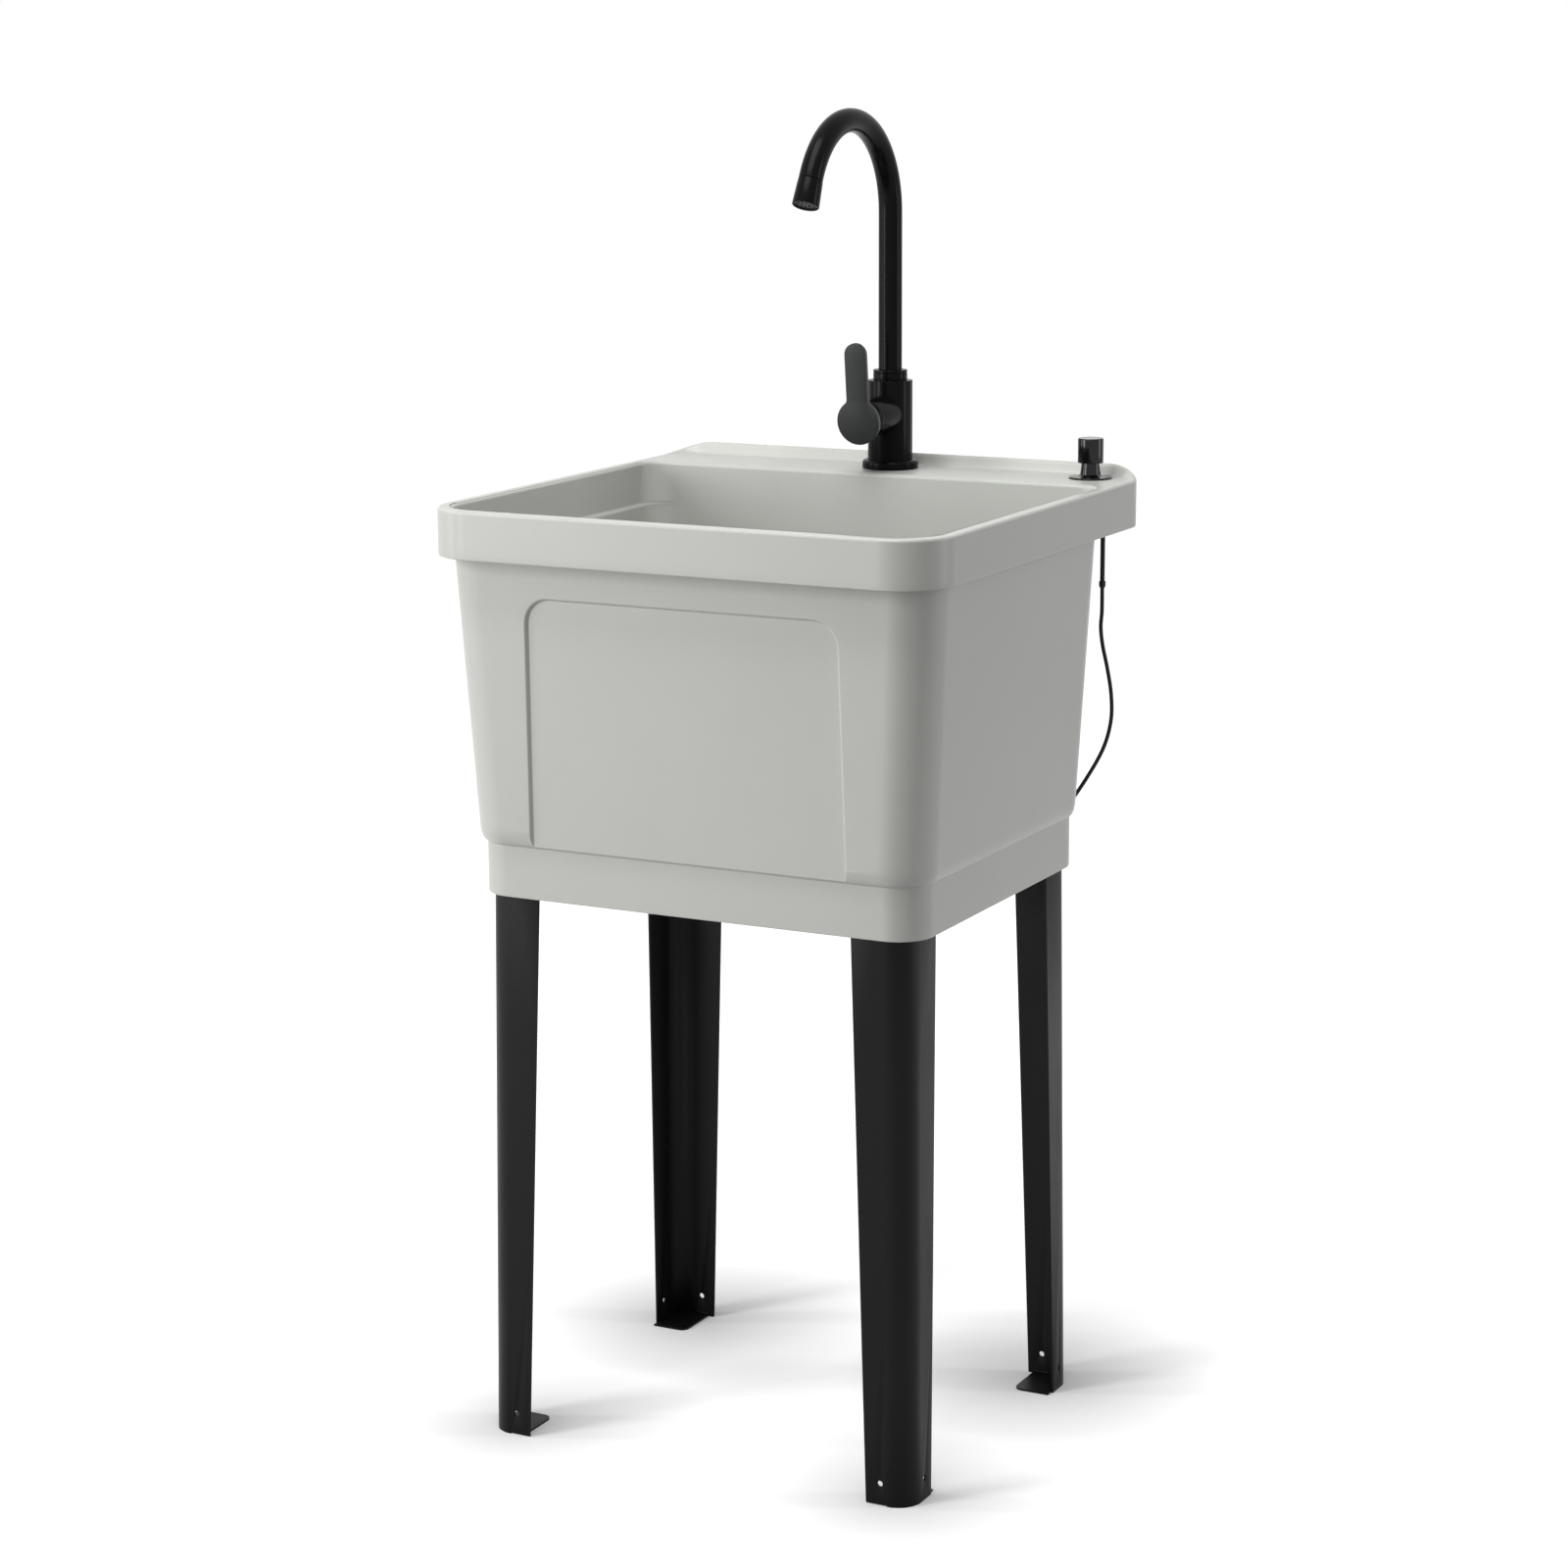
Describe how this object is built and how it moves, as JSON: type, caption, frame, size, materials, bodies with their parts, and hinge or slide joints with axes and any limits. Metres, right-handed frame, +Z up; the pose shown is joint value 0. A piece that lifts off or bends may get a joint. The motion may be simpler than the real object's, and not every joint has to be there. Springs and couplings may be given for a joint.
{
  "type": "utility laundry sink",
  "caption": "Freestanding moulded plastic laundry sink on folded steel legs, with a gooseneck mixer tap and a knob-worked waste.",
  "frame": {"origin": "on the floor, under the middle of the rim", "axes": "+X to the right seen from the front, +Y to the back, +Z up; the front is -Y"},
  "size_m": [0.505, 0.49, 1.2201],
  "materials": {
    "tub_plastic": "satin moulded plastic with a fine grain",
    "leg_coat": "satin black powder coat on sheet steel",
    "tap_black": "satin black coated metal",
    "handle_black": "matte dark grey-black coated metal",
    "knob_black": "polished black chrome",
    "steel": "satin",
    "waste_chrome": "polished",
    "brass": "machined",
    "white_plastic": "moulded white plastic",
    "black_plastic": "moulded black plastic",
    "rubber": "matte"
  },
  "bodies": {
    "stand": {"tub": "tub_plastic", "leg_front_left": "leg_coat", "leg_front_right": "leg_coat", "leg_rear_left": "leg_coat", "leg_rear_right": "leg_coat", "leg_screws": "steel", "tap_body": "tap_black", "tap_base_flange": "tap_black", "tap_seal": "rubber", "tap_shank": "brass", "hot_inlet": "brass", "cold_inlet": "brass", "tap_rubber_washer": "rubber", "tap_metal_washer": "steel", "tap_nut": "brass", "spout_collar": "tap_black", "spout_bush": "white_plastic", "spout_o_rings": "rubber", "cartridge": "white_plastic", "handle_bonnet": "tap_black", "knob_rosette": "knob_black", "knob_gasket": "rubber", "knob_neck": "knob_black", "knob_washer": "rubber", "knob_nut": "steel", "cable_housing": "black_plastic", "cable_guide_tube": "black_plastic", "cable_ferrule_upper": "black_plastic", "drain_cable": "black_plastic", "drain_flange": "waste_chrome", "drain_seal": "rubber", "drain_rubber_washer": "rubber", "drain_slip_washer": "white_plastic", "drain_nut": "white_plastic", "drain_tailpiece": "white_plastic", "tailpiece_gasket": "rubber", "pivot_nut": "white_plastic", "cable_bracket": "steel", "cable_ferrule_lower": "black_plastic"},
    "spout": {"spout_tube": "tap_black", "nozzle_sleeve": "tap_black", "aerator": "black_plastic", "spout_clip": "steel"},
    "turret": {"cartridge_turret": "brass"},
    "handle": {"handle_stem": "steel", "handle_lever": "handle_black", "handle_set_screw": "steel"},
    "knob": {"knob_cap": "knob_black", "knob_spindle": "steel"},
    "plug": {"plug": "waste_chrome", "plug_seal": "rubber"},
    "rocker": {"pivot_rod": "steel"},
    "wire_end": {"cable_clevis": "steel"}
  },
  "joints": [
    {"name": "spout_swivel", "type": "hinge", "parent": "stand", "child": "spout", "pos_m": [0, 0.206, 0.961], "axis": [0, 0, 1], "range_deg": [-110, 110]},
    {"name": "handle_turn", "type": "hinge", "parent": "stand", "child": "turret", "pos_m": [0, 0.157, 0.929], "axis": [0, -1, 0], "range_deg": [-45, 45]},
    {"name": "handle_tilt", "type": "hinge", "parent": "turret", "child": "handle", "pos_m": [0, 0.157, 0.929], "axis": [1, 0, 0], "range_deg": [0, 12]},
    {"name": "knob_turn", "type": "hinge", "parent": "stand", "child": "knob", "pos_m": [0.2065, 0.211, 0.9], "axis": [0, 0, 1], "range_deg": [0, 90]},
    {"name": "plug_lift", "type": "slide", "parent": "stand", "child": "plug", "axis": [0, 0, 1], "range_m": [0, 0.01]},
    {"name": "rocker_swing", "type": "hinge", "parent": "stand", "child": "rocker", "pos_m": [0.025, -0.027, 0.517], "axis": [0, 1, 0], "range_deg": [0, 23.1]},
    {"name": "wire_pull", "type": "slide", "parent": "stand", "child": "wire_end", "axis": [0, 0, -1], "range_m": [0, 0.012]}
  ],
  "couplings": [
    {"joint": "knob_turn", "follows": "plug_lift", "rad_per_m": 157.07},
    {"joint": "rocker_swing", "follows": "plug_lift", "rad_per_m": 40.31},
    {"joint": "wire_pull", "follows": "plug_lift", "ratio": 1.2}
  ]
}
